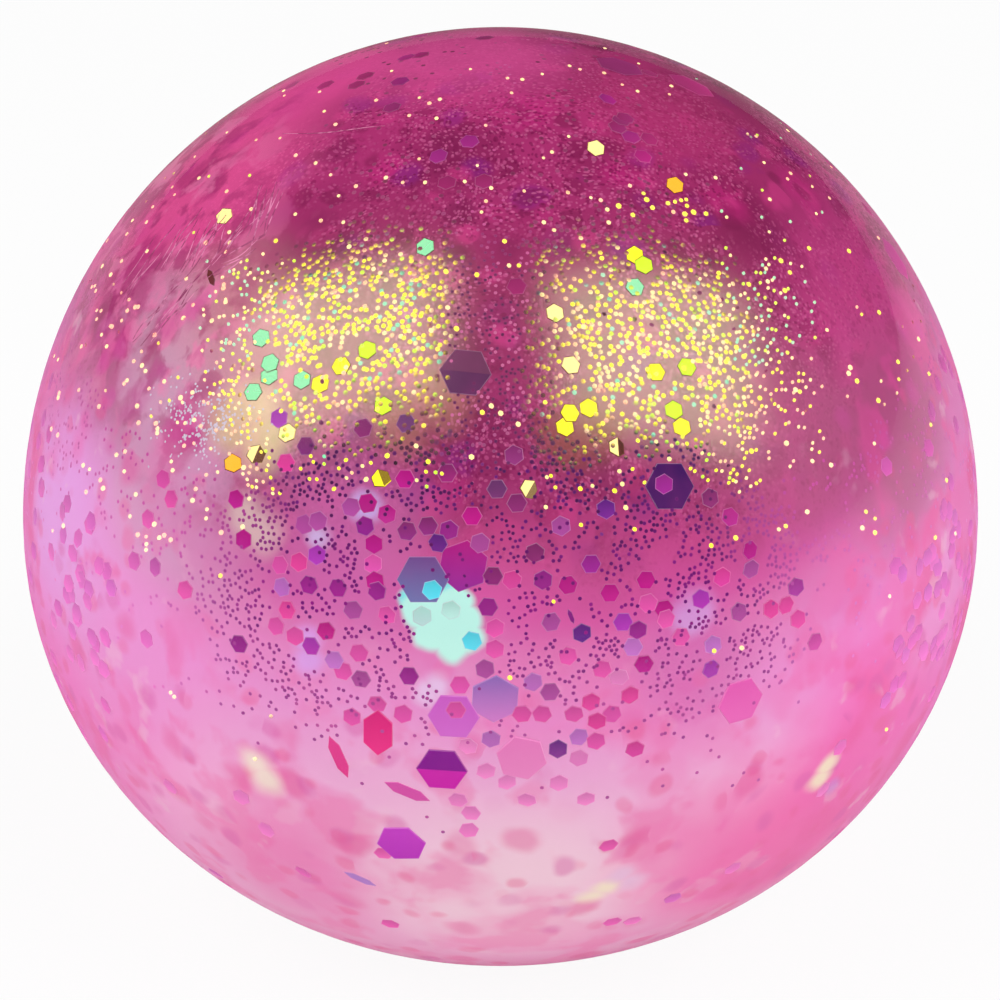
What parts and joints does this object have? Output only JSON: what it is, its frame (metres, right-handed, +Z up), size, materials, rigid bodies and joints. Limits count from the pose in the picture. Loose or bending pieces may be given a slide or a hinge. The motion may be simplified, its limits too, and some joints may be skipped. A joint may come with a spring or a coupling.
{
  "type": "glitter squishy ball",
  "caption": "Soft see-through pink rubber ball that sags on its foot: a gel full of glitter sequins inside a moulded skin, shut by a barbed plug, made to be squeezed.",
  "frame": {"origin": "centre of the flat foot, on the floor the ball rests on", "axes": "+Z up along the ball's axis, -Y the side the picture faces, +X its right"},
  "size_m": [0.07, 0.07, 0.0652],
  "materials": {
    "skin": "clear pink, soft gloss",
    "plug": "satin",
    "gel": "clear pink gel",
    "large_film": "iridescent film, violet with a gold flash",
    "medium_film": "iridescent film, magenta with a mint and gold flash"
  },
  "bodies": {
    "shell": {"skin": "skin", "filler_plug": "plug"},
    "filling": {"gel_filling": "gel", "large_sequin_01": "large_film", "large_sequin_02": "large_film", "large_sequin_03": "large_film", "large_sequin_04": "large_film", "large_sequin_05": "large_film", "large_sequin_06": "large_film", "large_sequin_07": "large_film", "large_sequin_08": "large_film", "large_sequin_09": "large_film", "large_sequin_10": "large_film", "large_sequin_11": "large_film", "large_sequin_12": "large_film", "large_sequin_14": "large_film", "large_sequin_15": "large_film", "large_sequin_16": "large_film", "large_sequin_17": "large_film", "large_sequin_19": "large_film", "medium_sequin_01": "medium_film", "medium_sequin_02": "medium_film", "medium_sequin_03": "medium_film", "medium_sequin_04": "medium_film", "medium_sequin_06": "medium_film", "medium_sequin_07": "medium_film", "medium_sequin_08": "medium_film", "medium_sequin_09": "medium_film", "medium_sequin_10": "medium_film", "medium_sequin_11": "medium_film", "medium_sequin_12": "medium_film", "medium_sequin_13": "medium_film", "medium_sequin_14": "medium_film", "medium_sequin_15": "medium_film", "medium_sequin_16": "medium_film", "medium_sequin_18": "medium_film", "medium_sequin_19": "medium_film", "medium_sequin_20": "medium_film", "medium_sequin_21": "medium_film", "medium_sequin_22": "medium_film", "medium_sequin_23": "medium_film", "medium_sequin_24": "medium_film", "medium_sequin_25": "medium_film", "medium_sequin_26": "medium_film", "medium_sequin_27": "medium_film", "medium_sequin_28": "medium_film", "medium_sequin_29": "medium_film", "medium_sequin_31": "medium_film", "medium_sequin_32": "medium_film", "medium_sequin_33": "medium_film", "medium_sequin_34": "medium_film", "medium_sequin_35": "medium_film", "medium_sequin_36": "medium_film", "medium_sequin_37": "medium_film"},
    "crown_sequins": {"large_sequin_13": "large_film", "large_sequin_18": "large_film", "medium_sequin_05": "medium_film", "medium_sequin_17": "medium_film", "medium_sequin_30": "medium_film"}
  },
  "joints": [
    {"name": "filling_swirl", "type": "hinge", "parent": "shell", "child": "filling", "pos_m": [0, 0, 0.0293], "axis": [0, 0, 1], "continuous": true},
    {"name": "squeeze", "type": "slide", "parent": "filling", "child": "crown_sequins", "axis": [0, 0, -1], "range_m": [0, 0.022], "stiffness_N_per_m": 900, "deforming": ["skin", "gel_filling"]}
  ]
}
